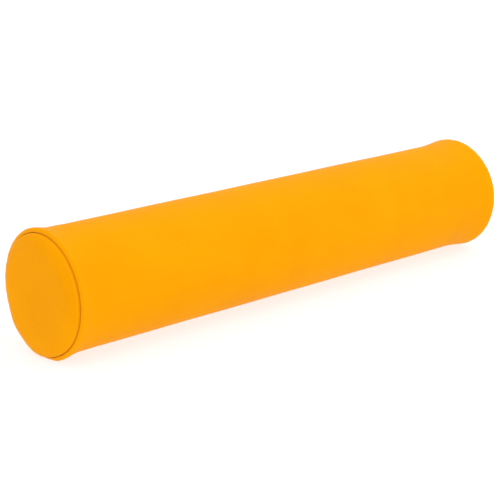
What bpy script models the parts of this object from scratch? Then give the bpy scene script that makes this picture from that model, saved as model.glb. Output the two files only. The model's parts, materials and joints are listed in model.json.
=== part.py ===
"""A bolster roll: a foam cylinder in a sewn cover of coated fabric, lying on its side.

The cover is a sleeve with a round panel sewn in at each end. The sleeve's raw edge is turned in
over the seam, so each end stands proud of the tube as a soft rim, and the roll rests on the two
rims. A coil zip runs along the back, with its slider at the +X end when it is closed.

Frame, in metres: +X along the roll, +Y to the back, +Z up. The origin is on the ground under the
middle of the roll. A profile is a list of (u, r, lift): u is measured inwards from the end seam,
r from the roll's axis, and lift is how far that wall stays above the surface the roll lies on.
"""

import math

import bmesh
import bpy
from mathutils import Vector

# Driving dimensions
TUBE_RADIUS = 0.100
SEAM_HALF_LENGTH = 0.4945  # from the middle to the plane of each end seam
FABRIC = 0.0012
AXIS_HEIGHT = 0.1033  # a little less than the rim's radius, because the rims are pressed flat
RIM_HEIGHT = 0.0045  # the rim's crest above the tube
RIM_REACH = 0.044  # where the rim has died out, from the seam plane
HEM_DEPTH = 0.012
SEGMENTS = 64
GAP = 0.0004

# The roll of fabric over each end seam: an ellipse in (u, r)
ROLL_U = 0.004
ROLL_RADIUS = TUBE_RADIUS + 0.0003
ROLL_AXIAL = 0.0052
ROLL_RADIAL = RIM_HEIGHT - 0.0003
SEAM_RADIUS = 0.0979
THREAD_RADIUS = 0.0003

# Foam
FOAM_RADIUS = TUBE_RADIUS - FABRIC - 0.0005
FOAM_NECK_RADIUS = 0.0961  # inside the turned-in hems

# Zip, in its own frame: x along the roll, y down round the tube, z out from the roll's axis
ZIP_ELEVATION = math.radians(25)  # above the horizontal, at the back
SLOT_HALF_LENGTH = 0.440
SLOT_HALF_WIDTH = 0.0055
TAPE_RADIUS = 0.0978
TAPE_THICKNESS = 0.0005
TAPE_INNER_EDGE = 0.0006
TAPE_OUTER_EDGE = 0.0143
TAPE_HALF_LENGTH = 0.446
COIL_HALF_LENGTH = 0.436
COIL_EDGES = (0.00055, 0.00305)
COIL_HEIGHTS = (0.0986, 0.1006)
STOP_LENGTH = 0.003
STOP_TOP = 0.1016
STITCH_OFFSET = 0.0030  # from the slot's edge
CHANNEL_HALF_WIDTH = 0.015
CHANNEL_FLOOR = 0.0958
CHANNEL_HALF_LENGTH = 0.450

# Slider, with x from its own middle
SLIDER_X = 0.430  # closed, at the +X end
SLIDER_HALF_LENGTH = 0.0055
SLIDER_HALF_WIDTH = 0.0045
BOTTOM_PLATE = (0.0962, 0.0973)
BOTTOM_PLATE_HALF_WIDTH = 0.0042
TOP_PLATE = (0.1011, 0.1022)
FLANGE_INNER = 0.0035
FLANGE_FOOT = 0.0991
POST_HALF_WIDTH = 0.0002
BRIDGE_HALF_WIDTH = 0.0009
BRIDGE_HALF_LENGTH = 0.0046
BRIDGE_LEG = 0.0011
BRIDGE_UNDERSIDE = 0.1042
BRIDGE_TOP = 0.1054

# Pull tab, hinged under the bridge
HINGE_HEIGHT = 0.1032
TAB_THICKNESS = 0.0012
TAB_LENGTH = 0.026
TAB_HALF_WIDTHS = (0.0030, 0.0042)  # at the hinge and at the tip
WINDOW_END = 0.0055
WINDOW_HALF_WIDTH = 0.0016

YELLOW = (0.965, 0.398, 0.010, 1)
PANEL_YELLOW = (0.945, 0.356, 0.004, 1)
THREAD_YELLOW = (0.82, 0.30, 0.01, 1)
TAPE_YELLOW = (0.80, 0.33, 0.02, 1)
FOAM_CREAM = (0.78, 0.72, 0.55, 1)
NICKEL = (0.62, 0.60, 0.57, 1)


def clear_scene():
    for obj in list(bpy.data.objects):
        bpy.data.objects.remove(obj, do_unlink=True)


def material(name, colour, roughness, metallic=0.0):
    made = bpy.data.materials.new(name)
    made.use_nodes = True
    shader = made.node_tree.nodes["Principled BSDF"]
    shader.inputs["Base Color"].default_value = colour
    shader.inputs["Roughness"].default_value = roughness
    shader.inputs["Metallic"].default_value = metallic
    return made


def add_object(name, bm, surface=None, parent=None, smooth=False):
    """Makes an object from bm, with its faces pointing out."""
    bmesh.ops.recalc_face_normals(bm, faces=bm.faces)
    mesh = bpy.data.meshes.new(name)
    bm.to_mesh(mesh)
    bm.free()
    obj = bpy.data.objects.new(name, mesh)
    bpy.context.scene.collection.objects.link(obj)
    obj.parent = parent
    if surface:
        mesh.materials.append(surface)
    if smooth:
        mesh.shade_smooth()
        mesh.set_sharp_from_angle(angle=math.radians(40))
    return obj


def add_empty(name, location, parent=None):
    obj = bpy.data.objects.new(name, None)
    bpy.context.scene.collection.objects.link(obj)
    obj.location = location
    obj.parent = parent
    return obj


def join(obj, other, operation):
    """Cuts or joins obj with other, which stays in the scene as a hidden guide."""
    other.hide_render = True
    other.display_type = "WIRE"
    boolean = obj.modifiers.new(operation.title(), "BOOLEAN")
    boolean.operation = operation
    boolean.solver = "EXACT"
    boolean.object = other


def bevel(obj, width, segments=2):
    rounding = obj.modifiers.new("Bevel", "BEVEL")
    rounding.width = width
    rounding.segments = segments
    rounding.limit_method = "ANGLE"
    rounding.angle_limit = math.radians(40)


# Shapes


def turned(name, profile, surface, parent, closed):
    """Spins (x, r, lift) round the roll's axis. An open profile starts and ends on the axis."""
    bm = bmesh.new()
    lift_layer = bm.verts.layers.float.new("lift")
    half_step = math.pi / SEGMENTS
    points = []
    for x, radius, lift in profile:
        point = bm.verts.new((x, radius * math.sin(half_step), -radius * math.cos(half_step)))
        point[lift_layer] = lift
        points.append(point)
    edges = [bm.edges.new(pair) for pair in zip(points, points[1:])]
    if closed:
        edges.append(bm.edges.new((points[-1], points[0])))
    bmesh.ops.spin(
        bm,
        geom=points + edges,
        cent=(0, 0, 0),
        axis=(1, 0, 0),
        angle=math.tau,
        steps=SEGMENTS,
        use_merge=True,
    )
    bmesh.ops.remove_doubles(bm, verts=bm.verts, dist=1e-6)
    for point in bm.verts:
        point.co.z = max(point.co.z, point[lift_layer] - AXIS_HEIGHT)
    return add_object(name, bm, surface, parent, smooth=True)


def extruded(name, outline, low, high, surface, parent, axis="x"):
    """Extrudes an outline from low to high along x (outline in y, z), y (x, z) or z (x, y)."""
    along = "xyz".index(axis)

    def place(pair, level):
        corner = list(pair)
        corner.insert(along, level)
        return Vector(corner)

    bm = bmesh.new()
    base = bm.faces.new([bm.verts.new(place(pair, low)) for pair in outline])
    grown = bmesh.ops.extrude_face_region(bm, geom=[base])["geom"]
    top = [item for item in grown if isinstance(item, bmesh.types.BMVert)]
    bmesh.ops.translate(bm, verts=top, vec=place((0, 0), high - low))
    return add_object(name, bm, surface, parent)


def box_outline(a_low, a_high, b_low, b_high):
    return [(a_low, b_low), (a_high, b_low), (a_high, b_high), (a_low, b_high)]


def mirrored_box(name, half_sizes, z_range, surface=None, parent=None):
    """A box centred on x = y = 0."""
    half_x, half_y = half_sizes
    outline = box_outline(-half_y, half_y, *z_range)
    return extruded(name, outline, -half_x, half_x, surface, parent)


# Profiles


def roll_point(degrees, inset):
    """On the roll of fabric over the seam. Zero degrees points inwards and 90 away from the axis."""
    angle = math.radians(degrees)
    u = ROLL_U + (ROLL_AXIAL - inset) * math.cos(angle)
    return u, ROLL_RADIUS + (ROLL_RADIAL - inset) * math.sin(angle)


def rim_radius(u, inset):
    """The radius where the rim dies out into the tube, steep at the crest and slow at the end."""
    share = (u - ROLL_U) / (RIM_REACH - ROLL_U)
    return TUBE_RADIUS - inset + RIM_HEIGHT * (1 - share) ** 2 * (1 + share / 2)


def sleeve_wall(hem_radius, inset, seam_degrees):
    """One side of the sleeve's fabric at one end, from the turned-in hem to the tube."""
    turn = roll_point(seam_degrees, inset)
    wall = [(HEM_DEPTH, hem_radius), (max(turn[0], 0) + 0.0007, hem_radius)]
    steps = 4
    for step in range(steps + 1):
        wall.append(roll_point(seam_degrees + (90 - seam_degrees) * step / steps, inset))
    for u in (0.010, 0.018, 0.029, RIM_REACH):
        wall.append((u, rim_radius(u, inset)))
    return [(u, radius, inset) for u, radius in wall]


def at_end(side, wall):
    return [(side * (SEAM_HALF_LENGTH - u), radius, lift) for u, radius, lift in wall]


def sleeve_profile():
    outer = sleeve_wall(SEAM_RADIUS + 0.0001, 0.0, 215)
    inner = sleeve_wall(SEAM_RADIUS + 0.0001 + FABRIC, FABRIC, 201.5)
    left = at_end(-1, outer)
    right = at_end(1, outer)[::-1] + at_end(1, inner)
    return left + right + at_end(-1, inner)[::-1]


def end_panel_wall(inset):
    """One side of an end panel, from its middle to its turned-in edge: a flat disc, full edge."""
    edge = SEAM_RADIUS - 0.0002 - inset
    return [
        (-0.0070 + inset, 0.0, 0.0),
        (-0.0068 + inset, 0.075, 0.0),
        (-0.0060 + inset, 0.088 - inset / 4, 0.0),
        (-0.0045 + inset * 0.92, 0.0935 - inset * 0.6, 0.0),
        (-0.0025 + inset * 0.75, 0.0963 - inset * 0.9, 0.0),
        (0.0004 + inset * 0.6, edge, 0.0),
        (HEM_DEPTH, edge, 0.0),
    ]


def end_panel_profile(side):
    return at_end(side, end_panel_wall(0.0) + end_panel_wall(FABRIC)[::-1])


def foam_profile():
    end = [
        (-0.0054, 0.0, 0.0),
        (-0.0052, 0.075, 0.0),
        (-0.0042, 0.087, 0.0),
        (-0.0026, 0.0917, 0.0),
        (0.0005, 0.095, 0.0),
        (0.0020, FOAM_NECK_RADIUS, 0.0),
        (HEM_DEPTH + 0.001, FOAM_NECK_RADIUS, 0.0),
        (HEM_DEPTH + 0.004, FOAM_RADIUS, 0.0),
    ]
    return at_end(-1, end) + at_end(1, end)[::-1]


def thread_ring_profile(side):
    """The end seam's thread, lying in the crease between the panel and the sleeve."""
    sides = 6
    ring = []
    for step in range(sides):
        angle = math.tau * step / sides
        u = -0.0010 + THREAD_RADIUS * math.cos(angle)
        ring.append((u, SEAM_RADIUS + THREAD_RADIUS * math.sin(angle), 0.0))
    return at_end(side, ring)


# Sub-parts


def make_cover(roll):
    fabric = material("yellow_fabric", YELLOW, 0.5)
    panel_fabric = material("yellow_end_fabric", PANEL_YELLOW, 0.5)
    thread = material("seam_thread", THREAD_YELLOW, 0.7)
    sleeve = turned("sleeve_panel", sleeve_profile(), fabric, roll, closed=True)
    for name, side in (("left", -1), ("right", 1)):
        turned(f"{name}_end_panel", end_panel_profile(side), panel_fabric, roll, closed=False)
        turned(f"{name}_seam_thread", thread_ring_profile(side), thread, roll, closed=True)
    return sleeve


def make_foam(roll):
    foam = material("foam", FOAM_CREAM, 0.95)
    return turned("foam_core", foam_profile(), foam, roll, closed=False)


def arc_outline(radius, thickness, first, last, steps=5):
    """A strip bent round the roll, as (y, z), between two distances round the tube."""
    outline = []
    for r, order in ((radius, range(steps + 1)), (radius + thickness, range(steps, -1, -1))):
        for step in order:
            angle = (first + (last - first) * step / steps) / radius
            outline.append((r * math.sin(angle), r * math.cos(angle)))
    return outline


def make_zip_chain(zip_frame):
    tape = material("zip_tape", TAPE_YELLOW, 0.8)
    coil = material("zip_coil", TAPE_YELLOW, 0.4)
    stop = material("zip_stop", NICKEL, 0.35, 1.0)
    for name, side in (("upper", -1), ("lower", 1)):
        outline = arc_outline(
            TAPE_RADIUS, TAPE_THICKNESS, side * TAPE_INNER_EDGE, side * TAPE_OUTER_EDGE
        )
        extruded(f"zip_tape_{name}", outline, -TAPE_HALF_LENGTH, TAPE_HALF_LENGTH, tape, zip_frame)
        near, far = sorted(side * edge for edge in COIL_EDGES)
        outline = box_outline(near, far, *COIL_HEIGHTS)
        strip = extruded(
            f"zip_coil_{name}", outline, -COIL_HALF_LENGTH, COIL_HALF_LENGTH, coil, zip_frame
        )
        bevel(strip, 0.0006)
        outline = box_outline(near, far, COIL_HEIGHTS[0], STOP_TOP)
        start = COIL_HALF_LENGTH + GAP
        top_stop = extruded(
            f"zip_top_stop_{name}", outline, start, start + STOP_LENGTH, stop, zip_frame
        )
        bevel(top_stop, 0.0004)
    end = -COIL_HALF_LENGTH - GAP
    outline = box_outline(-COIL_EDGES[1], COIL_EDGES[1], COIL_HEIGHTS[0], STOP_TOP)
    bottom = extruded("zip_bottom_stop", outline, end - STOP_LENGTH, end, stop, zip_frame)
    bevel(bottom, 0.0004)


def make_zip_stitching(zip_frame):
    """Two rows of topstitching along the zip, and a tack across each end of the slot."""
    thread = material("topstitch_thread", THREAD_YELLOW, 0.7)
    row = SLOT_HALF_WIDTH + STITCH_OFFSET
    radius = TUBE_RADIUS + THREAD_RADIUS
    row_half_length = SLOT_HALF_LENGTH + 0.001
    for name, side in (("upper", -1), ("lower", 1)):
        edges = (side * (row - THREAD_RADIUS), side * (row + THREAD_RADIUS))
        outline = arc_outline(radius, 2 * THREAD_RADIUS, *edges, steps=1)
        extruded(
            f"zip_topstitch_{name}", outline, -row_half_length, row_half_length, thread, zip_frame
        )
    outline = arc_outline(radius, 2 * THREAD_RADIUS, -row, row)
    for name, side in (("left", -1), ("right", 1)):
        middle = side * (SLOT_HALF_LENGTH + STITCH_OFFSET)
        low, high = middle - 2 * THREAD_RADIUS, middle + 2 * THREAD_RADIUS
        extruded(f"zip_end_tack_{name}", outline, low, high, thread, zip_frame)


def slider_outline():
    """The slider's section as (y, z): two plates on a thin post, flanges down round the coils."""
    half = [
        (BOTTOM_PLATE_HALF_WIDTH, BOTTOM_PLATE[0]),
        (BOTTOM_PLATE_HALF_WIDTH, BOTTOM_PLATE[1]),
        (POST_HALF_WIDTH, BOTTOM_PLATE[1]),
        (POST_HALF_WIDTH, TOP_PLATE[0]),
        (FLANGE_INNER, TOP_PLATE[0]),
        (FLANGE_INNER, FLANGE_FOOT),
        (SLIDER_HALF_WIDTH, FLANGE_FOOT),
        (SLIDER_HALF_WIDTH, TOP_PLATE[1]),
    ]
    return half + [(-y, z) for y, z in reversed(half)]


def bridge_outline():
    """The arch over the tab's hinge as (x, z), rooted in the top plate."""
    inner = BRIDGE_HALF_LENGTH - BRIDGE_LEG
    foot = TOP_PLATE[1] - 0.0005
    corner = 0.0006
    half = [
        (inner, BRIDGE_UNDERSIDE),
        (inner, foot),
        (BRIDGE_HALF_LENGTH, foot),
        (BRIDGE_HALF_LENGTH, BRIDGE_TOP - corner),
        (BRIDGE_HALF_LENGTH - corner, BRIDGE_TOP),
    ]
    return half + [(-x, z) for x, z in reversed(half)]


def make_slider(zip_frame):
    metal = material("slider_metal", NICKEL, 0.3, 1.0)
    place = add_empty("slider_place", (SLIDER_X, 0, 0), zip_frame)
    body = extruded(
        "zip_slider_body", slider_outline(), -SLIDER_HALF_LENGTH, SLIDER_HALF_LENGTH, metal, place
    )
    bridge = extruded(
        "bridge_guide",
        bridge_outline(),
        -BRIDGE_HALF_WIDTH,
        BRIDGE_HALF_WIDTH,
        None,
        place,
        axis="y",
    )
    join(body, bridge, "UNION")
    hinge = add_empty("hinge_place", (0, 0, HINGE_HEIGHT), place)
    make_pull_tab(metal, hinge)


def make_pull_tab(metal, hinge):
    """A flat tab whose near edge is the hinge bar, with a window for the bridge's leg."""
    half_thick = TAB_THICKNESS / 2
    near, tip = TAB_HALF_WIDTHS
    round_off = 0.0022
    half = [
        (half_thick, near),
        (-0.008, near),
        (-0.012, tip),
        (-TAB_LENGTH + round_off, tip),
        (-TAB_LENGTH, tip - round_off),
    ]
    outline = half + [(x, -y) for x, y in reversed(half)]
    tab = extruded("zip_pull_tab", outline, -half_thick, half_thick, metal, hinge, axis="z")
    window_outline = box_outline(
        -WINDOW_END, -half_thick, -WINDOW_HALF_WIDTH, WINDOW_HALF_WIDTH
    )
    through = 2 * TAB_THICKNESS
    window = extruded("window_cutter", window_outline, -through, through, None, hinge, axis="z")
    join(tab, window, "DIFFERENCE")


def cut_for_zip(sleeve, foam, zip_frame):
    outside = TUBE_RADIUS + 0.010
    slot = mirrored_box(
        "slot_cutter", (SLOT_HALF_LENGTH, SLOT_HALF_WIDTH), (0.090, outside), parent=zip_frame
    )
    join(sleeve, slot, "DIFFERENCE")
    channel = mirrored_box(
        "channel_cutter",
        (CHANNEL_HALF_LENGTH, CHANNEL_HALF_WIDTH),
        (CHANNEL_FLOOR, outside),
        parent=zip_frame,
    )
    join(foam, channel, "DIFFERENCE")


def main():
    clear_scene()
    roll = add_empty("roll_axis", (0, 0, AXIS_HEIGHT))
    zip_frame = add_empty("zip_frame", (0, 0, 0), roll)
    zip_frame.rotation_euler.x = ZIP_ELEVATION - math.pi / 2
    sleeve = make_cover(roll)
    foam = make_foam(roll)
    make_zip_chain(zip_frame)
    make_zip_stitching(zip_frame)
    make_slider(zip_frame)
    cut_for_zip(sleeve, foam, zip_frame)


main()
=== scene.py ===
"""The looks of the foam bolster roll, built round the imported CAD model.

The cover is a sheet of coated fabric: one strip that runs from one edge of the zip round the roll
to the other, and a round panel at each end. Each point of the sleeve is worked out from where it is
along the strip's profile and how far round the roll it lies. A short cloth simulation then lets the
fabric buckle between the sewn lines. The zip follows a common size 5 coil zip, and its coils,
slider, pull tab and all stitches are geometry.

Metres, in the CAD model's frame: +X along the roll, +Y to the back, +Z up. In a profile, u is the
distance inwards from an end seam and r is the radius. Round the roll, an arc starts at the zip and
goes down the back.
"""

import json
import math

import bmesh
import bpy
import numpy as np
from mathutils import Euler, Matrix, Vector


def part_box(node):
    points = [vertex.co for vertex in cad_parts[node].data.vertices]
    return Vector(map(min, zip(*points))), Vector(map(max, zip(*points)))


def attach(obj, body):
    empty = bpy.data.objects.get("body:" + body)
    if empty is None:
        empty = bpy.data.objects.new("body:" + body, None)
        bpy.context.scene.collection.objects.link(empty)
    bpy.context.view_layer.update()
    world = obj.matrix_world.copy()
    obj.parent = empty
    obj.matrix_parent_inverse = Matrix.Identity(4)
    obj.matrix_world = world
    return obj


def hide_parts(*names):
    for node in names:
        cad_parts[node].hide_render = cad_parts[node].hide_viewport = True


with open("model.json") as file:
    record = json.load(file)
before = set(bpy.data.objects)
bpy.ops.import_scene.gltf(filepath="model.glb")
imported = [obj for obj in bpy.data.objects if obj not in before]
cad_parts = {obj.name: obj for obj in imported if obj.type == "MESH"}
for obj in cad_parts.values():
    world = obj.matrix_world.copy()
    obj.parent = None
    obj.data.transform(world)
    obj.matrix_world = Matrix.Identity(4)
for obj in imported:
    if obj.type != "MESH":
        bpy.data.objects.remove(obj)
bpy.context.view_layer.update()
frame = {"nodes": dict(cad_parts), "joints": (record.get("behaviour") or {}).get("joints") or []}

# Driving dimensions, from the frame where it has them
FOAM_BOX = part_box("foam_core")
THREAD_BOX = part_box("left_seam_thread")
SLIDER_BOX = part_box("zip_slider_body")
COIL_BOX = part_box("zip_coil_upper")
HINGE = Vector(next(j for j in frame["joints"] if j["name"] == "pull_hinge")["pos_m"])

AXIS_Z = (FOAM_BOX[0].z + FOAM_BOX[1].z) / 2
SEAM_X = -(THREAD_BOX[0].x + THREAD_BOX[1].x) / 2 - 0.001  # the thread lies 1 mm outside the seam
SLIDER_X = (SLIDER_BOX[0].x + SLIDER_BOX[1].x) / 2
COIL_HALF_LENGTH = COIL_BOX[1].x
ZIP_ANGLE = math.atan2(HINGE.z - AXIS_Z, HINGE.y)  # above the horizontal
HINGE_RADIUS = math.hypot(HINGE.z - AXIS_Z, HINGE.y)
TUBE_RADIUS = 0.100
FABRIC = 0.0012  # thickness
EDGE_X = SEAM_X + 0.0035  # where the filling pushes the sewn edges out to
SEAM_RADIUS = 0.0971
SEAM_DEPTH = 0.0015  # how far the stitched line lies inside the seam plane
CREASE_HALF_WIDTH = 0.0010
PANEL_FULLNESS = 0.0092  # how far a panel's middle stands outside its edge
PANEL_FLAT_RADIUS = 0.071  # where a panel's rounded shoulder begins
THREAD_RADIUS = 0.0003
STITCH_PITCH = 0.004
SEAM_STITCH_LIFT = 0.0003  # how far the seam stitches stand above the stitched line
TACK_THREAD_RADIUS = 0.00025
RIM_WAVE = 0.00025  # the rims' own unevenness
SLEEVE_PUCKER = 0.00022
PANEL_PUCKER = 0.00018
TUBE_WAVE = 0.00025
STRIP_MIDDLE_COLUMNS = 170
PANEL_COLUMNS = 192

# Cloth: how much longer the fabric is than its shape, and how far it may sink and rise
CLOTH_FRAMES = 16
SLEEVE_SPARE = 0.010
PANEL_SPARE = 0.006
SLEEVE_SINK = 0.0006
PANEL_SINK = 0.0007
CLOTH_RISE = 0.0007
SMOOTHING_ROUNDS = 12

# The foam
FOAM_CLEARANCE = 0.0015
FOAM_NECK = 0.0936
FOAM_BELLY = 0.0979
FOAM_UNDER_ZIP = 0.0956
FOAM_SHOULDER = 0.024

# The opening for the zip
SLOT_HALF_WIDTH = 0.0055
SLOT_HALF_LENGTH = 0.438
SLOT_CLOSED = 0.447  # beyond this the sleeve's two edges are sewn together
FOLD_RADIUS = 0.0014
STITCH_OFFSET = 0.003
GROOVE_DEPTH = 0.00045  # of the topstitching
GROOVE_WIDTH = 0.0011

# The zip, with heights measured from the roll's axis
COIL_PITCH = 0.0015
COIL_ARC = 0.0017
COIL_HEIGHT = 0.0996
COIL_HALF_WIDTH = 0.00137
COIL_HALF_HEIGHT = 0.0010
WIRE_RADIUS = 0.00038
SLIDER_TOP = (0.1011, 0.1022)
SLIDER_BOTTOM = (0.0962, 0.0973)
SLIDER_FLANGE = (0.0991, 0.1016)
SLIDER_POST = (0.0970, 0.1015)
BRIDGE_FOOT = 0.1018
BRIDGE_RISE = 0.0030
BRIDGE_HALF_SPAN = 0.0040
TAB_HALF_THICK = 0.0006
GRIP_HALF_THICK = 0.0009
GRIP_X = -0.0155
HOLE_X = -0.0222
HOLE_RADIUS = 0.0013

# Colours
COVER_YELLOW = (0.96, 0.376, 0.0016, 1)
THREAD_YELLOW = (0.86, 0.31, 0.006, 1)
TAPE_YELLOW = (0.80, 0.31, 0.012, 1)
NYLON_YELLOW = (0.84, 0.34, 0.015, 1)

# Stage
FLOOR_HALF_SIZE = 14.0
FLOOR_Z = -0.0004
FLOOR_GLOW = 0.75
KEY_PLACE = (0.6, -1.8, 3.4)
KEY_SIZE = 3.0
KEY_POWER = 34

# Camera, fitted to the photograph's outline of the roll
CAMERA_AZIMUTH = math.radians(-43.17)
CAMERA_ELEVATION = math.radians(15.876)
CAMERA_PLACE = Vector((-1.7444, -1.7987, 0.7911))
CAMERA_LENS = 105.9


class Rim:
    """How the seam at one end makes the tube flare."""

    def __init__(self, side, crest_u, height, reach, bulges, seed):
        self.side = side
        self.crest_u = crest_u  # where the flare is highest
        self.height = height
        self.reach = reach  # where the flare has ended
        self.bulges = bulges  # (angle in degrees from the back, down, width in degrees, height)
        self.seed = seed


LEFT_BULGES = [(18, 38, -0.0024), (42, 13, 0.0040), (62, 14, 0.0018), (82, 20, 0.0050)]
RIGHT_BULGES = [(-105, 35, -0.0004), (-160, 30, 0.0014), (60, 40, -0.0008)]
LEFT_RIM = Rim(-1, crest_u=0.0048, height=0.0047, reach=0.037, bulges=LEFT_BULGES, seed=3)
RIGHT_RIM = Rim(1, crest_u=0.0085, height=0.0050, reach=0.061, bulges=RIGHT_BULGES, seed=8)


# Small tools


def add_mesh(name, points, faces, surface=None, smooth=True):
    mesh = bpy.data.meshes.new(name)
    mesh.from_pydata([tuple(p) for p in points], [], faces)
    mesh.update()
    if smooth:
        mesh.shade_smooth()
    obj = bpy.data.objects.new(name, mesh)
    bpy.context.scene.collection.objects.link(obj)
    if surface:
        mesh.materials.append(surface)
    return obj


def grid_faces(rows, columns, closed=False):
    """Faces of a grid of points numbered row by row."""
    faces = []
    across = columns if closed else columns - 1
    for row in range(rows - 1):
        for column in range(across):
            following = (column + 1) % columns
            a = row * columns + column
            b = row * columns + following
            faces.append((a, a + columns, b + columns, b))
    return faces


def store(mesh, name, values):
    """Keeps one number per point on the mesh, for its material to read."""
    layer = mesh.attributes.new(name, "FLOAT", "POINT")
    layer.data.foreach_set("value", np.ascontiguousarray(values, np.float32).ravel())


def smoothstep(values):
    clipped = np.clip(values, 0, 1)
    return clipped * clipped * (3 - 2 * clipped)


def ripples(angles, lowest, highest, count, seed):
    """A smooth wave round the roll, the same at 0 and 360 degrees, within about -1 to 1."""
    random = np.random.default_rng(seed)
    wave = np.zeros_like(angles)
    for order in random.integers(lowest, highest + 1, count):
        wave += random.normal() * np.cos(order * angles + random.uniform(0, math.tau))
    return wave / math.sqrt(count)


def zip_matrix():
    """The zip's frame: x along the roll, y down round the tube, z out from the axis."""
    turn = Matrix.Rotation(ZIP_ANGLE - math.pi / 2, 4, "X")
    return Matrix.Translation((0, 0, AXIS_Z)) @ turn


def on_tube(x, arc, radius):
    """A point at x, that far round the roll from the zip, as world coordinates in an array."""
    angle = ZIP_ANGLE - arc / TUBE_RADIUS
    return np.stack([x, radius * np.cos(angle), AXIS_Z + radius * np.sin(angle)], axis=-1)


def sweep(name, paths, outward, radius, sides, surface):
    """One round thread or wire along each path. outward holds a direction for each point."""
    count, steps = paths.shape[:2]
    ahead = np.gradient(paths, axis=1)
    ahead /= np.linalg.norm(ahead, axis=2, keepdims=True)
    across = np.cross(ahead, outward)
    across /= np.linalg.norm(across, axis=2, keepdims=True)
    up = np.cross(across, ahead)
    turn = np.arange(sides) * math.tau / sides
    radius = np.broadcast_to(radius, (steps,))[None, :, None, None]
    ring = np.cos(turn)[:, None] * across[:, :, None] + np.sin(turn)[:, None] * up[:, :, None]
    points = (paths[:, :, None] + radius * ring).reshape(-1, 3)
    one = np.array(grid_faces(steps, sides, closed=True))
    faces = (one[None] + np.arange(count)[:, None, None] * steps * sides).reshape(-1, 4).tolist()
    for start in range(0, count * steps * sides, steps * sides):
        faces.append(tuple(range(start, start + sides)))
        faces.append(tuple(range(start + (steps - 1) * sides, start + steps * sides))[::-1])
    return add_mesh(name, points, faces, surface)


# Cover


def rim_profile(rim):
    """Rows of (u, r, share of the rim, painted crease shade) from inside the seam to where the rim
    has ended.
    """
    edge = SEAM_RADIUS + CREASE_HALF_WIDTH
    top = TUBE_RADIUS + rim.height
    # The last value of each row is painted shade for the seam crease: full down in the seam, fading
    # out up the roll.
    rows = [(SEAM_DEPTH + depth, edge, 1.0, 1.0) for depth in (0.0024, 0.0016, 0.0008)]
    start = math.radians(20)
    length = (rim.crest_u - SEAM_DEPTH) / math.cos(start)
    rise = (top - edge) / (1 - math.sin(start))
    for turn in np.linspace(start, math.pi / 2, 18):
        u = rim.crest_u - length * math.cos(turn)
        radius = top - rise * (1 - math.sin(turn))
        rows.append((u, radius, 1.0, 1 - smoothstep((radius - edge) / 0.0014)))
    for step in np.linspace(0, 1, 19)[1:] ** 1.3:
        fall = (1 - step) ** 2 * (1 + 0.6 * step)
        u = rim.crest_u + step * (rim.reach - rim.crest_u)
        rows.append((u, TUBE_RADIUS + rim.height * fall, fall, 0.0))
    return np.array(rows)


def strip_columns():
    """Across the strip: (arc length from the edge, angle of the fold) for each column of points."""
    fold = [(0.0, angle) for angle in np.radians([90, 66, 44, 22])]
    near = [(arc, 0.0) for arc in np.arange(0, 0.014, 0.001)]
    return fold, near


def sleeve_arcs(x):
    """Arc and fold angle of each column, for rows of points at x. Both have one row per x."""
    closing = smoothstep((np.abs(x) - SLOT_HALF_LENGTH) / (SLOT_CLOSED - SLOT_HALF_LENGTH))
    gap = SLOT_HALF_WIDTH * (1 - closing)
    fold, near = strip_columns()
    edge = np.array(fold + near)
    start = gap[:, None] + FOLD_RADIUS - FOLD_RADIUS * np.sin(edge[:, 1]) + edge[:, 0]
    reach = near[-1][0] + 0.002
    whole = math.tau * TUBE_RADIUS
    low = gap + FOLD_RADIUS + reach
    middle = low[:, None] + (whole - 2 * low)[:, None] * np.linspace(0, 1, STRIP_MIDDLE_COLUMNS)
    arcs = np.concatenate([start, middle, whole - start[:, ::-1]], axis=1)
    angles = np.concatenate([edge[:, 1], np.zeros(STRIP_MIDDLE_COLUMNS), edge[::-1, 1]])
    return arcs, np.broadcast_to(angles, arcs.shape)


def rim_change(rim, angles):
    """How much higher the rim stands than its mean, round the roll."""
    degrees = np.degrees(angles)
    change = RIM_WAVE * ripples(angles, 2, 5, 4, rim.seed)
    for centre, width, height in rim.bulges:
        away = (degrees - centre + 180) % 360 - 180
        change += height * np.exp(-((away / width) ** 2))
    return change


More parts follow.
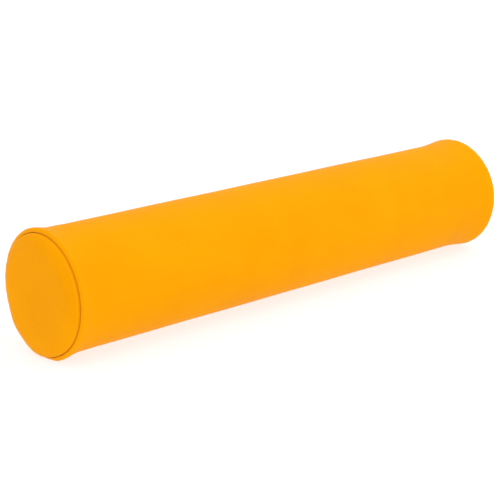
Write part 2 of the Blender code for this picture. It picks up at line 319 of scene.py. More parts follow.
def make_sleeve(fabric):
    left, right = rim_profile(LEFT_RIM), rim_profile(RIGHT_RIM)
    middle_x = np.arange(-EDGE_X + LEFT_RIM.reach + 0.006, EDGE_X - RIGHT_RIM.reach - 0.004, 0.0066)
    middle = np.stack([middle_x, np.full_like(middle_x, TUBE_RADIUS)], axis=1)
    x = np.concatenate([left[:, 0] - EDGE_X, middle[:, 0], EDGE_X - right[::-1, 0]])
    radius = np.concatenate([left[:, 1], middle[:, 1], right[::-1, 1]])
    still = np.zeros(len(middle_x))
    left_share = np.concatenate([left[:, 2], still, np.zeros(len(right))])
    right_share = np.concatenate([np.zeros(len(left)), still, right[::-1, 2]])
    # Painted shade for the seam creases, carried on to the material.
    crease_shade = np.concatenate([left[:, 3], still, right[::-1, 3]])

    arcs, folds = sleeve_arcs(x)
    angles = arcs / TUBE_RADIUS - ZIP_ANGLE  # from the back, down
    radii = np.broadcast_to(radius[:, None], arcs.shape).copy()
    radii -= FOLD_RADIUS * (1 - np.cos(folds))
    for rim, share in ((LEFT_RIM, left_share), (RIGHT_RIM, right_share)):
        pucker = SLEEVE_PUCKER * ripples(angles, 24, 60, 9, rim.seed + 20)
        near = np.exp(-((EDGE_X - rim.side * x - 0.012) / 0.010) ** 2)[:, None]
        radii += share[:, None] * rim_change(rim, angles) + near * pucker
    along = x[:, None]
    tube_wave = TUBE_WAVE * np.sin(along * 21 + 2 * angles) * np.sin(along * 8 + angles + 1)
    radii += tube_wave * (1 - left_share - right_share)[:, None]
    edge_arc = np.minimum(arcs, math.tau * TUBE_RADIUS - arcs)
    sewn = smoothstep((SLOT_CLOSED - np.abs(x)) / 0.004)[:, None]
    row = SLOT_HALF_WIDTH + STITCH_OFFSET
    radii -= sewn * GROOVE_DEPTH * np.exp(-(((edge_arc - row) / GROOVE_WIDTH) ** 2))

    places = np.broadcast_to(x[:, None], arcs.shape)
    points = on_tube(places, arcs, radii)
    rows, columns = arcs.shape
    sleeve = add_mesh("cover_sleeve", points.reshape(-1, 3), grid_faces(rows, columns), fabric)
    from_end = EDGE_X - np.abs(x)[:, None]
    held = np.maximum(1 - smoothstep((from_end - SEAM_DEPTH) / 0.003), 0)
    free = 1 - smoothstep((from_end - 0.050) / 0.04)
    free = np.maximum(free, 0.6 * (1 - smoothstep((edge_arc - 0.035) / 0.025)))
    free = free * smoothstep((edge_arc - row - 0.001) / 0.008)
    pinned = np.maximum(held, 1 - free).ravel()
    outward = points - on_tube(places, arcs, np.zeros_like(arcs))
    outward /= np.linalg.norm(outward, axis=2, keepdims=True)
    settle(sleeve, pinned, SLEEVE_SPARE, outward.reshape(-1, 3), SLEEVE_SINK, CLOTH_RISE)
    press_flat(sleeve)
    wear = (left_share + right_share)[:, None] ** 6 * np.ones_like(arcs)
    store(sleeve.data, "wear", wear)
    # Painted shade: darker colour in the end-seam creases and in the folds at the zip's edges.
    store(sleeve.data, "crease_shade", np.maximum(crease_shade[:, None], np.sin(folds) ** 2))
    thicken(sleeve)
    return sleeve


def get_points(mesh):
    points = np.empty(len(mesh.vertices) * 3, np.float32)
    mesh.vertices.foreach_get("co", points)
    return points.reshape(-1, 3)


def set_points(mesh, points):
    mesh.vertices.foreach_set("co", np.ascontiguousarray(points, np.float32).ravel())
    mesh.update()


def press_flat(obj):
    """Lets nothing lie below the ground, with a soft edge to the flat patch."""
    points = get_points(obj.data)
    soft = 0.0012
    points[:, 2] = soft * np.logaddexp(0, points[:, 2] / soft)
    set_points(obj.data, points)


def smoothed(mesh, values, rounds):
    """Averages values with those of the neighbouring points, over and over."""
    ends = np.empty(len(mesh.edges) * 2, np.int32)
    mesh.edges.foreach_get("vertices", ends)
    first, second = ends.reshape(-1, 2).T
    size = len(values)
    count = np.bincount(first, minlength=size) + np.bincount(second, minlength=size)
    for _ in range(rounds):
        total = np.bincount(first, values[second], size) + np.bincount(second, values[first], size)
        values = 0.4 * values + 0.6 * total / count
    return values


def settle(obj, pinned, spare, outward, sink, rise):
    """Lets the fabric buckle as cloth between its seams.

    pinned is 1 where a point is held and 0 where it is free, spare is how much longer the fabric
    is than its shape, and sink and rise are how far a point may end inside and outside it.
    """
    mesh = obj.data
    before = get_points(mesh)
    group = obj.vertex_groups.new(name="pinned")
    levels = np.round(pinned * 20).astype(int)
    for level in range(1, 21):
        group.add(np.nonzero(levels == level)[0].tolist(), level / 20, "REPLACE")
    cloth = obj.modifiers.new("Cloth", "CLOTH")
    cloth.settings.quality = 5
    cloth.settings.mass = 0.3
    cloth.settings.tension_stiffness = 25
    cloth.settings.compression_stiffness = 25
    cloth.settings.shear_stiffness = 10
    cloth.settings.bending_stiffness = 6
    cloth.settings.shrink_min = -spare
    cloth.settings.vertex_group_mass = group.name
    cloth.settings.use_pressure = True
    cloth.settings.uniform_pressure_force = 0.3
    cloth.settings.effector_weights.gravity = 0
    cloth.collision_settings.use_collision = False
    cloth.point_cache.frame_start = 1
    cloth.point_cache.frame_end = CLOTH_FRAMES
    for number in range(1, CLOTH_FRAMES + 1):
        bpy.context.scene.frame_set(number)
    shaped = obj.evaluated_get(bpy.context.evaluated_depsgraph_get()).to_mesh()
    move = get_points(shaped) - before
    obj.modifiers.remove(cloth)
    obj.vertex_groups.remove(group)
    bpy.context.scene.frame_set(1)
    along = smoothed(mesh, (move * outward).sum(axis=1), SMOOTHING_ROUNDS)
    along -= np.median(along[pinned < 0.5])
    along *= smoothstep((1 - pinned) * 1.4)
    kept = np.where(along > 0, rise * np.tanh(along / rise), sink * np.tanh(along / sink))
    set_points(mesh, before + kept[:, None] * outward)


def thicken(obj):
    shell = obj.modifiers.new("Fabric", "SOLIDIFY")
    shell.thickness = FABRIC
    shell.offset = -1


def make_end_panel(rim, fabric):
    """A round panel, softly domed, with a full edge that dives into the seam."""
    name = "left" if rim.side < 0 else "right"
    edge = SEAM_RADIUS - CREASE_HALF_WIDTH
    depth = PANEL_FULLNESS + SEAM_DEPTH
    profile = [(SEAM_DEPTH + 0.0020, edge), (SEAM_DEPTH + 0.0010, edge)]
    for turn in np.linspace(math.pi / 2, math.radians(3), 30):
        reach = (edge - PANEL_FLAT_RADIUS) * math.sin(turn) ** 0.88
        profile.append((SEAM_DEPTH - depth * math.cos(turn), PANEL_FLAT_RADIUS + reach))
    for radius in np.linspace(PANEL_FLAT_RADIUS - 0.001, 0.004, 16):
        profile.append((SEAM_DEPTH - depth, radius))
    u, radius = np.array(profile).T
    columns = PANEL_COLUMNS
    angles = np.arange(columns) * math.tau / columns
    share = smoothstep((radius - 0.078) / 0.012) * smoothstep((SEAM_RADIUS - radius) / 0.003)
    pucker = PANEL_PUCKER * ripples(angles, 18, 48, 9, rim.seed + 40)
    spread = radius[:, None] / TUBE_RADIUS
    sway = 0.0004 * spread * np.cos(2 * angles + rim.seed) + 0.0003 * spread**2 * np.cos(3 * angles)
    sway = sway * smoothstep((SEAM_RADIUS - radius) / 0.01)[:, None]
    out = u[:, None] + share[:, None] * pucker - sway
    outer = smoothstep((radius - 0.06) / 0.036)[:, None]
    stretched = radius[:, None] + outer * rim_change(rim, -angles)
    x = rim.side * (EDGE_X - out)
    y = stretched * np.cos(angles)
    z = AXIS_Z + stretched * np.sin(angles)
    points = np.stack([x, y, z], axis=-1).reshape(-1, 3)
    faces = grid_faces(len(radius), columns, closed=True)
    points = np.concatenate([points, [(rim.side * (EDGE_X + PANEL_FULLNESS), 0, AXIS_Z)]])
    last = (len(radius) - 1) * columns
    faces += [(last + k, len(points) - 1, last + (k + 1) % columns) for k in range(columns)]
    if rim.side < 0:
        faces = [tuple(reversed(face)) for face in faces]
    panel = add_mesh(f"cover_{name}_end", points, faces, fabric)
    outward = np.zeros_like(points)
    outward[:, 0] = rim.side
    held = 1 - smoothstep((SEAM_RADIUS - 0.003 - radius) / 0.004)
    pinned = np.append(np.repeat(held, columns), 0)
    settle(panel, pinned, PANEL_SPARE, outward, PANEL_SINK, CLOTH_RISE)
    # Painted shade darkens the panel's edge where it dives into the seam crease.
    crease_shade = np.repeat(1 - smoothstep((SEAM_DEPTH - u) / 0.0040), columns)
    store(panel.data, "crease_shade", np.append(crease_shade, 0))
    store(panel.data, "wear", np.append(np.repeat(share * 0.3, columns), 0))
    thicken(panel)
    return panel


# Stitches


def stitch_paths(places, outward, ahead, depth):
    """A short arch of thread at each place, whose two ends dive into the fabric."""
    along = np.array([-0.47, -0.455, -0.40, 0, 0.40, 0.455, 0.47]) * STITCH_PITCH
    height = np.array([-1.0, -0.45, -0.08, 0, -0.08, -0.45, -1.0]) * depth
    paths = places[:, None] + along[None, :, None] * ahead[:, None]
    paths = paths + height[None, :, None] * outward[:, None]
    return paths, np.broadcast_to(outward[:, None], paths.shape)


def make_seam_stitches(rim, thread):
    """The stitches that hold an end panel, down in the crease."""
    radius = SEAM_RADIUS
    count = round(math.tau * radius / STITCH_PITCH)
    angles = (np.arange(count) + 0.5) * math.tau / count
    radii = radius + rim_change(rim, angles)
    x = np.full(count, rim.side * (EDGE_X - SEAM_DEPTH + SEAM_STITCH_LIFT))
    places = np.stack([x, radii * np.cos(angles), AXIS_Z - radii * np.sin(angles)], axis=1)
    ahead = np.stack([np.zeros(count), -np.sin(angles), -np.cos(angles)], axis=1)
    outward = np.zeros((count, 3))
    outward[:, 0] = rim.side
    name = "left" if rim.side < 0 else "right"
    paths, ups = stitch_paths(places, outward, ahead, 0.0006)
    return sweep(f"{name}_seam_stitches", paths, ups, THREAD_RADIUS, 6, thread)


def make_topstitch(name, side, thread):
    """One row of stitches along the zip."""
    half_length = SLOT_HALF_LENGTH + STITCH_OFFSET
    count = round(2 * half_length / STITCH_PITCH)
    x = (np.arange(count) + 0.5 - count / 2) * STITCH_PITCH
    arc = np.full(count, side * (SLOT_HALF_WIDTH + STITCH_OFFSET))
    radius = TUBE_RADIUS - 0.0002
    places = on_tube(x, arc, np.full(count, radius))
    outward = (places - on_tube(x, arc, np.zeros(count))) / radius
    ahead = np.broadcast_to([1.0, 0, 0], places.shape)
    paths, ups = stitch_paths(places, outward, ahead, 0.0009)
    return sweep(f"zip_topstitches_{name}", paths, ups, THREAD_RADIUS, 6, thread)


def make_end_tack(name, side, thread):
    """A close zigzag of thread across one end of the zip."""
    half_width = SLOT_HALF_WIDTH + STITCH_OFFSET
    strands = 30
    arc = np.repeat(np.linspace(-half_width, half_width, strands), 2)
    sway = np.tile([-0.0011, 0.0011], strands)
    x = side * (SLOT_CLOSED + 0.0012) + sway
    steps = np.linspace(0, 1, 5)[None, :]
    x = x[:-1, None] * (1 - steps) + x[1:, None] * steps
    arc = arc[:-1, None] * (1 - steps) + arc[1:, None] * steps
    lift = 0.0004 - 0.0010 * (2 * steps - 1) ** 4
    radius = np.broadcast_to(TUBE_RADIUS + lift, x.shape)
    paths = on_tube(x, arc, radius)
    ups = paths - on_tube(x, arc, np.zeros_like(x))
    return sweep(f"zip_end_tack_{name}_stitches", paths, ups, TACK_THREAD_RADIUS, 6, thread)


# Zip


def make_coil(name, side, nylon):
    """The zip's spiral of nylon on one tape."""
    turns = int(2 * COIL_HALF_LENGTH / COIL_PITCH)
    steps = 14
    phase = np.arange(turns * steps + 1) * math.tau / steps
    x = (phase / math.tau - turns / 2) * COIL_PITCH + side * 0.25 * COIL_PITCH
    across = -side * np.cos(phase) * (COIL_HALF_WIDTH - WIRE_RADIUS)
    above = np.sin(phase) * (COIL_HALF_HEIGHT - WIRE_RADIUS)
    path = on_tube(x, side * COIL_ARC + across, COIL_HEIGHT + above)
    heart = on_tube(x, np.full_like(x, side * COIL_ARC), np.full_like(x, COIL_HEIGHT))
    ups = (path - heart)[None]
    return sweep(f"zip_coil_{name}_spiral", path[None], ups, WIRE_RADIUS, 6, nylon)


def plate(outline, low, high, edge=0.00025, holes=()):
    """A flat plate with rounded edges, from an outline of (x, y) points, as a mesh."""
    curve = bpy.data.curves.new("plate", "CURVE")
    curve.dimensions = "2D"
    curve.fill_mode = "BOTH"
    curve.extrude = (high - low) / 2 - edge
    curve.bevel_depth = edge
    curve.bevel_resolution = 3
    curve.offset = -edge
    for loop in (outline, *holes):
        spline = curve.splines.new("POLY")
        spline.points.add(len(loop) - 1)
        for point, (x, y) in zip(spline.points, loop):
            point.co = (x, y, 0, 1)
        spline.use_cyclic_u = True
    obj = bpy.data.objects.new("plate", curve)
    mesh = bpy.data.meshes.new_from_object(obj)
    bpy.data.objects.remove(obj)
    bpy.data.curves.remove(curve)
    mesh.transform(Matrix.Translation((0, 0, (low + high) / 2)))
    return mesh


def smooth_loop(points, rounds=3):
    """Rounds the corners of a closed outline by cutting them again and again."""
    loop = np.array(points, float)
    for _ in range(rounds):
        after = np.roll(loop, -1, axis=0)
        loop = np.stack([0.8 * loop + 0.2 * after, 0.2 * loop + 0.8 * after], axis=1)
        loop = loop.reshape(-1, 2)
    return [tuple(p) for p in loop]


def mirrored(points):
    return points + [(x, -y) for x, y in reversed(points)]


def fused(name, meshes, matrix, metal):
    """One object out of several meshes, placed by matrix."""
    bm = bmesh.new()
    for mesh in meshes:
        bm.from_mesh(mesh)
        bpy.data.meshes.remove(mesh)
    bmesh.ops.remove_doubles(bm, verts=bm.verts, dist=1e-7)
    bmesh.ops.recalc_face_normals(bm, faces=bm.faces)
    bm.transform(matrix)
    mesh = bpy.data.meshes.new(name)
    bm.to_mesh(mesh)
    bm.free()
    mesh.shade_smooth()
    mesh.set_sharp_from_angle(angle=math.radians(35))
    mesh.materials.clear()
    mesh.materials.append(metal)
    obj = bpy.data.objects.new(name, mesh)
    bpy.context.scene.collection.objects.link(obj)
    return obj


def make_bridge():
    """The low arch on the slider that holds the pull tab, as a mesh."""
    steps, sides = 22, 12
    turn = np.linspace(0, math.pi, steps)
    x = BRIDGE_HALF_SPAN * np.cos(turn)
    z = BRIDGE_FOOT + BRIDGE_RISE * np.sin(turn) ** 0.75
    ahead = np.stack([np.gradient(x), np.gradient(z)], axis=1)
    ahead /= np.linalg.norm(ahead, axis=1, keepdims=True)
    thick = 0.00052
    wide = 0.0009 + 0.0003 * np.cos(turn) ** 4
    points = []
    for step in range(steps):
        for k in range(sides):
            round_k = k * math.tau / sides
            up = thick * math.copysign(abs(math.sin(round_k)) ** 0.7, math.sin(round_k))
            side = wide[step] * math.copysign(abs(math.cos(round_k)) ** 0.7, math.cos(round_k))
            points.append((x[step] - up * ahead[step, 1], side, z[step] + up * ahead[step, 0]))
    faces = grid_faces(steps, sides, closed=True)
    faces.append(tuple(range(sides)))
    faces.append(tuple(range((steps - 1) * sides, steps * sides))[::-1])
    mesh = bpy.data.meshes.new("bridge")
    mesh.from_pydata(points, [], faces)
    return mesh


def make_slider(metal):
    """Two shaped plates joined by the post, with flanges and the bridge."""
    top = smooth_loop(
        mirrored([(0.0055, 0.0012), (0.0052, 0.0030), (0.0026, 0.0045), (-0.0012, 0.0042),
                  (-0.0050, 0.0040), (-0.0055, 0.0024)])
    )
    bottom = smooth_loop(
        mirrored([(0.0054, 0.0012), (0.0050, 0.0030), (0.0026, 0.0042), (-0.0050, 0.0038),
                  (-0.0054, 0.0022)])
    )
    lip = 0.0008
    meshes = [plate(top, *SLIDER_TOP, 0.00035), plate(bottom, *SLIDER_BOTTOM, 0.0003)]
    for side in (-1, 1):
        outer = [(0.0034, 0.0043), (0.0024, 0.0045), (-0.0012, 0.0043), (-0.0046, 0.0041)]
        flange = outer + [(x, y - lip) for x, y in reversed(outer)]
        flange = [(x, side * y) for x, y in flange]
        meshes.append(plate(flange, *SLIDER_FLANGE, 0.00015))
    post = [(0.0050, 0), (0.0036, 0.0002), (0.0012, 0.0002), (0.0002, 0)]
    post += [(0.0012, -0.0002), (0.0036, -0.0002)]
    meshes.append(plate(post, *SLIDER_POST, 0.00002))
    meshes.append(make_bridge())
    place = zip_matrix() @ Matrix.Translation((SLIDER_X, 0, 0))
    return fused("slider_body", meshes, place, metal)


def make_pull_tab(metal):
    """A tapered tab with a window for the bridge, an oval grip with a raised rim, and a hole."""
    outline = smooth_loop(
        mirrored([(0.0006, 0.0030), (-0.0085, 0.0030), (-0.0125, 0.0042), (-0.0235, 0.0042),
                  (-0.0260, 0.0024)])
    )
    window = mirrored([(-0.0006, 0.0016), (-0.0056, 0.0016)])
    turns = [k * math.tau / 24 for k in range(24)]
    hole = [(HOLE_X + HOLE_RADIUS * math.cos(t), HOLE_RADIUS * math.sin(t)) for t in turns]
    cuts = [window[::-1], hole[::-1]]
    meshes = [plate(outline, -TAB_HALF_THICK, TAB_HALF_THICK, 0.0003, holes=cuts)]
    grip = [(GRIP_X + 0.0042 * math.cos(t), 0.0031 * math.sin(t)) for t in turns]
    dish = [(GRIP_X + 0.0033 * math.cos(t), 0.0022 * math.sin(t)) for t in turns]
    meshes.append(plate(grip, -GRIP_HALF_THICK, GRIP_HALF_THICK, 0.00025, holes=[dish[::-1]]))
    height = Matrix.Translation((SLIDER_X, 0, HINGE_RADIUS))
    return fused("pull_tab", meshes, zip_matrix() @ height, metal)


# Foam


def make_foam(foam):
    """The cylinder of foam inside the cover, a little slimmer at its ends and under the zip."""
    end = EDGE_X + PANEL_FULLNESS - FABRIC - FOAM_CLEARANCE
    half = np.linspace(0, 1, 60) ** 0.6 * end
    x = np.concatenate([-half[:0:-1], half])
    from_end = end - np.abs(x)
    width = FOAM_NECK + (FOAM_BELLY - FOAM_NECK) * smoothstep((from_end - 0.012) / 0.02)
    inset = 1 - np.clip(from_end / (PANEL_FULLNESS + 0.004), 0, 1)
    width = width - FOAM_SHOULDER * (1 - np.sqrt(1 - inset**2))
    columns = 160
    arcs = np.arange(columns) * math.tau * TUBE_RADIUS / columns
    away = np.minimum(arcs, math.tau * TUBE_RADIUS - arcs)
    dip = (FOAM_BELLY - FOAM_UNDER_ZIP) * (1 - smoothstep((away - 0.015) / 0.004))
    radii = np.minimum(width[:, None], (FOAM_BELLY - dip)[None, :])
    angles = arcs / TUBE_RADIUS
    radii = radii - 0.0003 * (1 + ripples(angles, 3, 9, 5, 31) * np.sin(40 * x[:, None])) * 0.5
    rows = len(x)
    points = on_tube(np.broadcast_to(x[:, None], radii.shape), arcs[None, :], radii)
    points = points.reshape(-1, 3)
    points[:, 2] = np.maximum(points[:, 2], FABRIC + 0.0016)
    faces = grid_faces(rows, columns, closed=True)
    points = np.concatenate([points, [(-end, 0, AXIS_Z), (end, 0, AXIS_Z)]])
    last = (rows - 1) * columns
    middle = rows * columns
    for k in range(columns):
        following = (k + 1) % columns
        faces.append((following, k, middle))
        faces.append((last + k, last + following, middle + 1))
    return add_mesh("foam_roll", points, faces, foam)


# Materials


def new_material(name, roughness, metallic=0.0):
    made = bpy.data.materials.new(name)
    made.use_nodes = True
    tree = made.node_tree
    shader = tree.nodes["Principled BSDF"]
    shader.inputs["Roughness"].default_value = roughness
    shader.inputs["Metallic"].default_value = metallic
    return made, tree, shader


def add_node(tree, kind, values=None, **settings):
    node = tree.nodes.new(kind)
    for key, value in settings.items():
        setattr(node, key, value)
    for key, value in (values or {}).items():
        node.inputs[key].default_value = value
    return node


def object_noise(tree, scale, detail=2.0, roughness=0.5):
    place = add_node(tree, "ShaderNodeTexCoord")
    noise = add_node(
        tree, "ShaderNodeTexNoise", {"Scale": scale, "Detail": detail, "Roughness": roughness}
    )
    tree.links.new(place.outputs["Object"], noise.inputs["Vector"])
    return noise


def blend_colours(tree, factor, first, second, blend_type="MIX"):
    """factor is a socket; first and second are colours or sockets. Returns the mixed socket."""
    mix = add_node(tree, "ShaderNodeMix", data_type="RGBA", blend_type=blend_type)
    tree.links.new(factor, mix.inputs[0])
    for value, socket in ((first, mix.inputs[6]), (second, mix.inputs[7])):
        if isinstance(value, bpy.types.NodeSocket):
            tree.links.new(value, socket)
        else:
            socket.default_value = value
    return mix.outputs[2]


def ranged(tree, socket, low, high, to_low=0.0, to_high=1.0):
    spread = add_node(
        tree,
        "ShaderNodeMapRange",
        {"From Min": low, "From Max": high, "To Min": to_low, "To Max": to_high},
    )
    tree.links.new(socket, spread.inputs["Value"])
    return spread.outputs["Result"]


def add_bump(tree, shader, layers):
    """Stacks bumps: each layer is (height socket, strength, distance)."""
    normal = None
    for height, strength, distance in layers:
        bump = add_node(tree, "ShaderNodeBump", {"Strength": strength, "Distance": distance})
        tree.links.new(height, bump.inputs["Height"])
        if normal:
            tree.links.new(normal, bump.inputs["Normal"])
        normal = bump.outputs["Normal"]
    tree.links.new(normal, shader.inputs["Normal"])


def coated_fabric(name, base):
    """Coated upholstery fabric: pebbled grain with painted shade in its valleys, mottling, worn
    edges, and painted shade in seam creases and zip-edge folds.
    """
    made, tree, shader = new_material(name, 0.46)
    shader.inputs["Specular IOR Level"].default_value = 0.012
    shader.inputs["Specular Tint"].default_value = (1.0, 0.7, 0.2, 1)

    place = add_node(tree, "ShaderNodeTexCoord").outputs["Object"]
    bend = object_noise(tree, 240, 2).outputs["Color"]
    bent = add_node(tree, "ShaderNodeVectorMath", operation="MULTIPLY_ADD")
    tree.links.new(bend, bent.inputs[0])
    bent.inputs[1].default_value = (0.0012, 0.0012, 0.0012)
    tree.links.new(place, bent.inputs[2])
    cells = add_node(tree, "ShaderNodeTexVoronoi", {"Scale": 780}, feature="DISTANCE_TO_EDGE")
    tree.links.new(bent.outputs[0], cells.inputs["Vector"])
    pebbles = ranged(tree, cells.outputs["Distance"], 0.0, 0.22)
    fine = object_noise(tree, 2600, 2).outputs["Fac"]
    mottle = object_noise(tree, 9, 3).outputs["Fac"]
    patch = object_noise(tree, 60, 2).outputs["Fac"]

    lighter = tuple(min(1, c * f) for c, f in zip(base, (1.03, 1.05, 1.3, 1)))
    deeper = tuple(c * f for c, f in zip(base, (0.99, 0.96, 0.8, 1)))
    colour = blend_colours(tree, ranged(tree, mottle, 0.35, 0.65), deeper, lighter)
    # Painted shade in the grain's valleys, between the pebbles.
    valley_shade = tuple(c * f for c, f in zip(base, (0.80, 0.70, 0.4, 1)))
    colour = blend_colours(tree, ranged(tree, pebbles, 0, 1, 0.55, 0), colour, valley_shade)
    colour = blend_colours(tree, ranged(tree, fine, 0.55, 0.75, 0, 0.4), colour, lighter)
    wear = add_node(tree, "ShaderNodeAttribute", attribute_name="wear").outputs["Fac"]
    crease_shade = add_node(tree, "ShaderNodeAttribute", attribute_name="crease_shade").outputs["Fac"]
    colour = blend_colours(tree, ranged(tree, wear, 0, 1, 0, 0.35), colour, lighter)
    # Painted shade: a darker copy of the fabric colour laid into seam creases and zip-edge folds.
    crease_shade_colour = (base[0] * 0.72, base[1] * 0.60, base[2] * 0.4, 1)
    colour = blend_colours(tree, ranged(tree, crease_shade, 0.4, 1, 0, 0.4), colour, crease_shade_colour)
    tree.links.new(colour, shader.inputs["Base Color"])

    layers = [(patch, 0.12, 0.0010), (pebbles, 0.8, 0.00012), (fine, 0.2, 0.00004)]
    add_bump(tree, shader, layers)
    rough = ranged(tree, mottle, 0.3, 0.7, 0.42, 0.52)
    polish = add_node(tree, "ShaderNodeMath", operation="MULTIPLY_ADD")
    tree.links.new(wear, polish.inputs[0])
    polish.inputs[1].default_value = -0.08
    tree.links.new(rough, polish.inputs[2])
    tree.links.new(polish.outputs[0], shader.inputs["Roughness"])
    return made


def strands(tree, direction, scale, distortion=0.6):
    """A wave across object space, for twisted or woven yarn."""
    place = add_node(tree, "ShaderNodeTexCoord")
    wave = add_node(
        tree,
        "ShaderNodeTexWave",
        {"Scale": scale, "Distortion": distortion, "Detail": 1.5, "Detail Scale": 2.0},
        bands_direction=direction,
    )
    tree.links.new(place.outputs["Object"], wave.inputs["Vector"])
    return wave.outputs["Fac"]


def twisted_thread(name, base):
    """Polyester sewing thread: plies twisted together, with painted shade in the grooves between
    them, so their tops look lighter.
    """
    made, tree, shader = new_material(name, 0.55)
    shader.inputs["Specular IOR Level"].default_value = 0.25
    shader.inputs["Sheen Weight"].default_value = 0.15
    plies = strands(tree, "DIAGONAL", 700)
    tone = object_noise(tree, 350, 2).outputs["Fac"]
    # Painted shade in the grooves between the plies.
    deep = tuple(c * 0.72 for c in base[:3]) + (1,)
    colour = blend_colours(tree, ranged(tree, plies, 0.1, 0.9), deep, base)
    bright = tuple(min(1, c * 1.12) for c in base[:3]) + (1,)
    colour = blend_colours(tree, ranged(tree, tone, 0.45, 0.7, 0, 0.5), colour, bright)
    tree.links.new(colour, shader.inputs["Base Color"])
    add_bump(tree, shader, [(plies, 0.6, 0.0001), (tone, 0.2, 0.00005)])
    tree.links.new(ranged(tree, tone, 0.3, 0.7, 0.48, 0.66), shader.inputs["Roughness"])
    return made


def woven_tape(name, base):
    """Zip tape: a fine weave with ribs along its length and painted shade in the gaps between the
    yarns.
    """
    made, tree, shader = new_material(name, 0.8)
    shader.inputs["Specular IOR Level"].default_value = 0.15
    shader.inputs["Sheen Weight"].default_value = 0.1
    across = strands(tree, "X", 450, 0.3)
    along = strands(tree, "Z", 400, 0.3)
    tone = object_noise(tree, 30, 3).outputs["Fac"]
    weave = add_node(tree, "ShaderNodeMath", operation="MULTIPLY")
    tree.links.new(across, weave.inputs[0])
    tree.links.new(along, weave.inputs[1])
    # Painted shade where the weave dips, between the yarns.
    deep = tuple(c * 0.62 for c in base[:3]) + (1,)
    colour = blend_colours(tree, ranged(tree, weave.outputs[0], 0, 0.7), deep, base)
    worn = tuple(min(1, c * 1.06 + 0.004) for c in base[:3]) + (1,)
    colour = blend_colours(tree, ranged(tree, tone, 0.4, 0.7), colour, worn)
    tree.links.new(colour, shader.inputs["Base Color"])
    add_bump(tree, shader, [(weave.outputs[0], 0.5, 0.0002)])
    tree.links.new(ranged(tree, tone, 0.3, 0.7, 0.72, 0.86), shader.inputs["Roughness"])
    return made


def nylon_coil(name, base):
    """Moulded nylon: faintly see-through, with patchy tone and gloss."""
    made, tree, shader = new_material(name, 0.35)
    shader.inputs["Subsurface Weight"].default_value = 0.15
    shader.inputs["Subsurface Radius"].default_value = (0.0006, 0.0003, 0.0001)
    shader.inputs["Specular IOR Level"].default_value = 0.3
    tone = object_noise(tree, 220, 3).outputs["Fac"]
    deep = tuple(c * 0.85 for c in base[:3]) + (1,)
    colour = blend_colours(tree, ranged(tree, tone, 0.35, 0.65), deep, base)
    tree.links.new(colour, shader.inputs["Base Color"])
    tree.links.new(ranged(tree, tone, 0.3, 0.7, 0.28, 0.44), shader.inputs["Roughness"])
    add_bump(tree, shader, [(object_noise(tree, 1500, 2).outputs["Fac"], 0.15, 0.00004)])
    return made


def nickel_plate(name):
    """Nickel-plated zinc: cloudy gloss with fine scratches and slightly dull spots."""
    made, tree, shader = new_material(name, 0.3, 1.0)
    cloud = object_noise(tree, 180, 4, 0.6).outputs["Fac"]
    scratch = strands(tree, "DIAGONAL", 500, 12)
    colour = blend_colours(
        tree, ranged(tree, cloud, 0.35, 0.7), (0.66, 0.64, 0.60, 1), (0.52, 0.50, 0.46, 1)
    )
    tree.links.new(colour, shader.inputs["Base Color"])
    tree.links.new(ranged(tree, cloud, 0.3, 0.75, 0.22, 0.42), shader.inputs["Roughness"])
    add_bump(tree, shader, [(scratch, 0.08, 0.00003), (cloud, 0.1, 0.0001)])
    return made


def open_foam(name):
    """Polyurethane foam: open cells with painted shade in their pores, a little yellower in
    patches.
    """
    made, tree, shader = new_material(name, 0.95)
    shader.inputs["Specular IOR Level"].default_value = 0.1
    place = add_node(tree, "ShaderNodeTexCoord")
    cells = add_node(tree, "ShaderNodeTexVoronoi", {"Scale": 900})
    tree.links.new(place.outputs["Object"], cells.inputs["Vector"])
    tone = object_noise(tree, 12, 3).outputs["Fac"]
    colour = blend_colours(
        tree, ranged(tree, tone, 0.35, 0.65), (0.80, 0.74, 0.57, 1), (0.74, 0.66, 0.46, 1)
    )
    # Painted shade in the foam's pores.
    pore_shade = ranged(tree, cells.outputs["Distance"], 0.1, 0.5, 0.6, 0)
    colour = blend_colours(tree, pore_shade, colour, (0.52, 0.45, 0.30, 1))
    tree.links.new(colour, shader.inputs["Base Color"])
    add_bump(tree, shader, [(cells.outputs["Distance"], 0.7, 0.0006)])
    tree.links.new(ranged(tree, tone, 0.3, 0.7, 0.9, 1.0), shader.inputs["Roughness"])
    return made


# Stage


def make_stage():
    """A floor that renders white mostly by its own glow, so that hardly a shadow shows."""
    made, tree, shader = new_material("pale_floor", 0.9)
    shader.inputs["Specular IOR Level"].default_value = 0.1
    tone = object_noise(tree, 1.5, 2).outputs["Fac"]
    colour = blend_colours(tree, tone, (0.30, 0.30, 0.30, 1), (0.31, 0.31, 0.31, 1))
    tree.links.new(colour, shader.inputs["Base Color"])
    shader.inputs["Emission Color"].default_value = (1, 1, 1, 1)
    shader.inputs["Emission Strength"].default_value = FLOOR_GLOW
    ways = ((-1, -1), (1, -1), (1, 1), (-1, 1))
    corners = [(FLOOR_HALF_SIZE * x, FLOOR_HALF_SIZE * y, FLOOR_Z) for x, y in ways]
    floor = add_mesh("floor", corners, [(0, 1, 2, 3)], made, smooth=False)


def make_light(name, place, target, size, power):
    light = bpy.data.lights.new(name, "AREA")
    light.shape = "DISK"
    light.size = size
    light.energy = power
    obj = bpy.data.objects.new(name, light)
    bpy.context.scene.collection.objects.link(obj)
    obj.location = place
    obj.rotation_euler = (Vector(target) - Vector(place)).to_track_quat("-Z", "Y").to_euler()


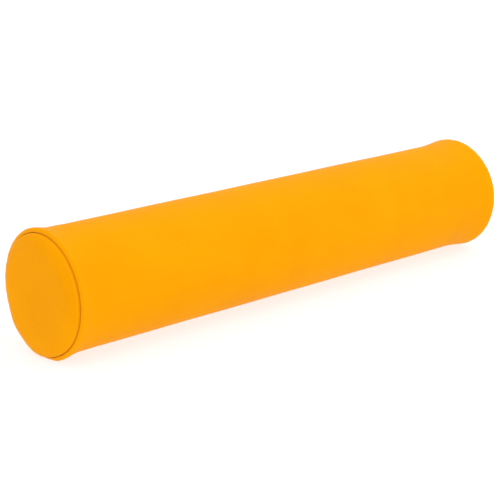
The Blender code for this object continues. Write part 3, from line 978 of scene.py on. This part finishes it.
def make_lights():
    world = bpy.data.worlds.new("studio")
    bpy.context.scene.world = world
    world.use_nodes = True
    background = world.node_tree.nodes["Background"]
    background.inputs["Color"].default_value = (1, 1, 1, 1)
    background.inputs["Strength"].default_value = 1.0
    make_light("key", KEY_PLACE, (0, 0, 0.1), KEY_SIZE, KEY_POWER)
    bpy.context.scene.view_settings.view_transform = "Standard"


def make_camera():
    camera = bpy.data.cameras.new("camera")
    camera.lens = CAMERA_LENS
    camera.sensor_width = 36
    camera.clip_end = 100
    obj = bpy.data.objects.new("camera", camera)
    bpy.context.scene.collection.objects.link(obj)
    obj.location = CAMERA_PLACE
    obj.rotation_euler = Euler((math.pi / 2 - CAMERA_ELEVATION, 0, CAMERA_AZIMUTH))
    bpy.context.scene.camera = obj


def show(obj, body, nodes):
    """Puts a piece on its body, in place of the CAD nodes that it stands for."""
    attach(obj, body)
    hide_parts(*nodes)
    return obj


def dress(node, surface):
    """Gives a carried-over CAD node its finished material."""
    obj = frame["nodes"][node]
    obj.data.materials.clear()
    obj.data.materials.append(surface)


def main():
    make_camera()
    make_lights()
    make_stage()
    yellow = coated_fabric("yellow_coated_fabric", COVER_YELLOW)
    thread = twisted_thread("yellow_thread", THREAD_YELLOW)
    tape = woven_tape("yellow_zip_tape", TAPE_YELLOW)
    nylon = nylon_coil("yellow_nylon", NYLON_YELLOW)
    nickel = nickel_plate("nickel")
    foam = open_foam("cream_foam")

    sleeve = show(make_sleeve(yellow), "roll", ["sleeve_panel"])
    for rim, name in ((LEFT_RIM, "left"), (RIGHT_RIM, "right")):
        panel = show(make_end_panel(rim, yellow), "roll", [f"{name}_end_panel"])
        stitches = make_seam_stitches(rim, thread)
        show(stitches, "roll", [f"{name}_seam_thread"])
        tack = make_end_tack(name, rim.side, thread)
        show(tack, "roll", [f"zip_end_tack_{name}"])
    filling = show(make_foam(foam), "roll", ["foam_core"])

    for name, side in (("upper", -1), ("lower", 1)):
        row = make_topstitch(name, side, thread)
        show(row, "roll", [f"zip_topstitch_{name}"])
        show(make_coil(name, side, nylon), "roll", [f"zip_coil_{name}"])
        dress(f"zip_tape_{name}", tape)
        dress(f"zip_top_stop_{name}", nickel)
    dress("zip_bottom_stop", nickel)
    show(make_slider(nickel), "slider", ["zip_slider_body"])
    show(make_pull_tab(nickel), "pull", ["zip_pull_tab"])


main()
